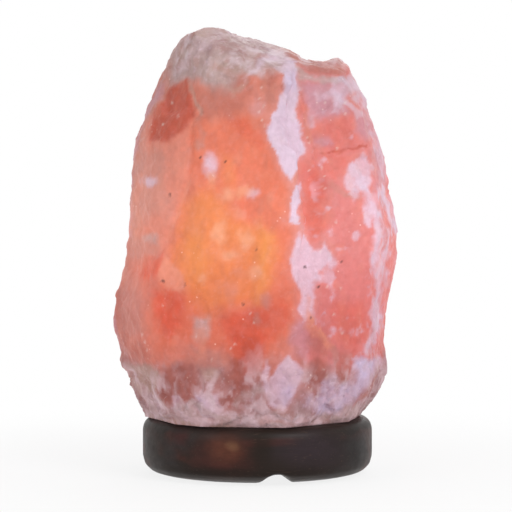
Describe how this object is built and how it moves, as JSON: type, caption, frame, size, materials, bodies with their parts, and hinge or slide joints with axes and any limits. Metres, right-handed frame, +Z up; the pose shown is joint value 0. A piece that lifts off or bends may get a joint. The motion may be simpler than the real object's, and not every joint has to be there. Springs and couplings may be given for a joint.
{
  "type": "salt crystal lamp",
  "caption": "Table lamp: a hewn salt crystal on a round turned wooden base, with a clip-in lampholder and a small tubular bulb in its bore.",
  "frame": {"origin": "on the table, at the middle of the wooden base, level with the undersides of the rubber feet", "axes": "+Z up along the axis of the base and the bore; the cord channel leaves the base along -Y, and the crystal's pictured front looks 10.2 degrees to the -X side of -Y"},
  "size_m": [0.1496, 0.1253, 0.2318],
  "materials": {
    "salt": "rough",
    "dark_wood": "satin",
    "foot_rubber": "matte",
    "screw_steel": "satin",
    "plug_plastic": "matte",
    "holder_plastic": "satin",
    "block_ceramic": "satin",
    "contact_brass": "satin",
    "spring_steel": "satin",
    "rivet_aluminium": "satin",
    "solder": "satin",
    "black_insulator": "gloss",
    "cap_nickel": "satin",
    "bulb_glass": "gloss",
    "stem_glass": "gloss",
    "lead_wire": "satin",
    "filament": "matte"
  },
  "bodies": {
    "lamp": {"salt_crystal": "salt", "wood_base": "dark_wood", "rubber_foot_1": "foot_rubber", "rubber_foot_2": "foot_rubber", "rubber_foot_3": "foot_rubber", "rubber_foot_4": "foot_rubber", "crystal_screws": "screw_steel", "crystal_plugs": "plug_plastic"},
    "lampholder": {"holder_cap": "holder_plastic", "holder_body": "holder_plastic", "contact_block": "block_ceramic", "thread_shell": "contact_brass", "centre_contact": "contact_brass", "live_terminal": "contact_brass", "neutral_terminal": "contact_brass", "terminal_screws": "screw_steel", "clip_left": "spring_steel", "clip_right": "spring_steel", "clip_rivets": "rivet_aluminium"},
    "bulb_tip": {"bulb_contact": "solder"},
    "bulb": {"bulb_insulator": "black_insulator", "bulb_cap": "cap_nickel", "bulb_glass": "bulb_glass", "bulb_stem": "stem_glass", "bulb_leads": "lead_wire", "filament": "filament"}
  },
  "joints": [
    {"name": "holder_slide", "type": "slide", "parent": "lamp", "child": "lampholder", "axis": [0, 0, -1], "range_m": [0, 0.13]},
    {"name": "bulb_rise", "type": "slide", "parent": "lampholder", "child": "bulb_tip", "axis": [0, 0, 1], "range_m": [0, 0.00847]},
    {"name": "bulb_turn", "type": "hinge", "parent": "bulb_tip", "child": "bulb", "pos_m": [0, 0, 0.05], "axis": [0, 0, 1], "range_deg": [0, 1080]}
  ],
  "couplings": [
    {"joint": "bulb_rise", "follows": "bulb_turn", "m_per_rad": 0.00044914}
  ]
}
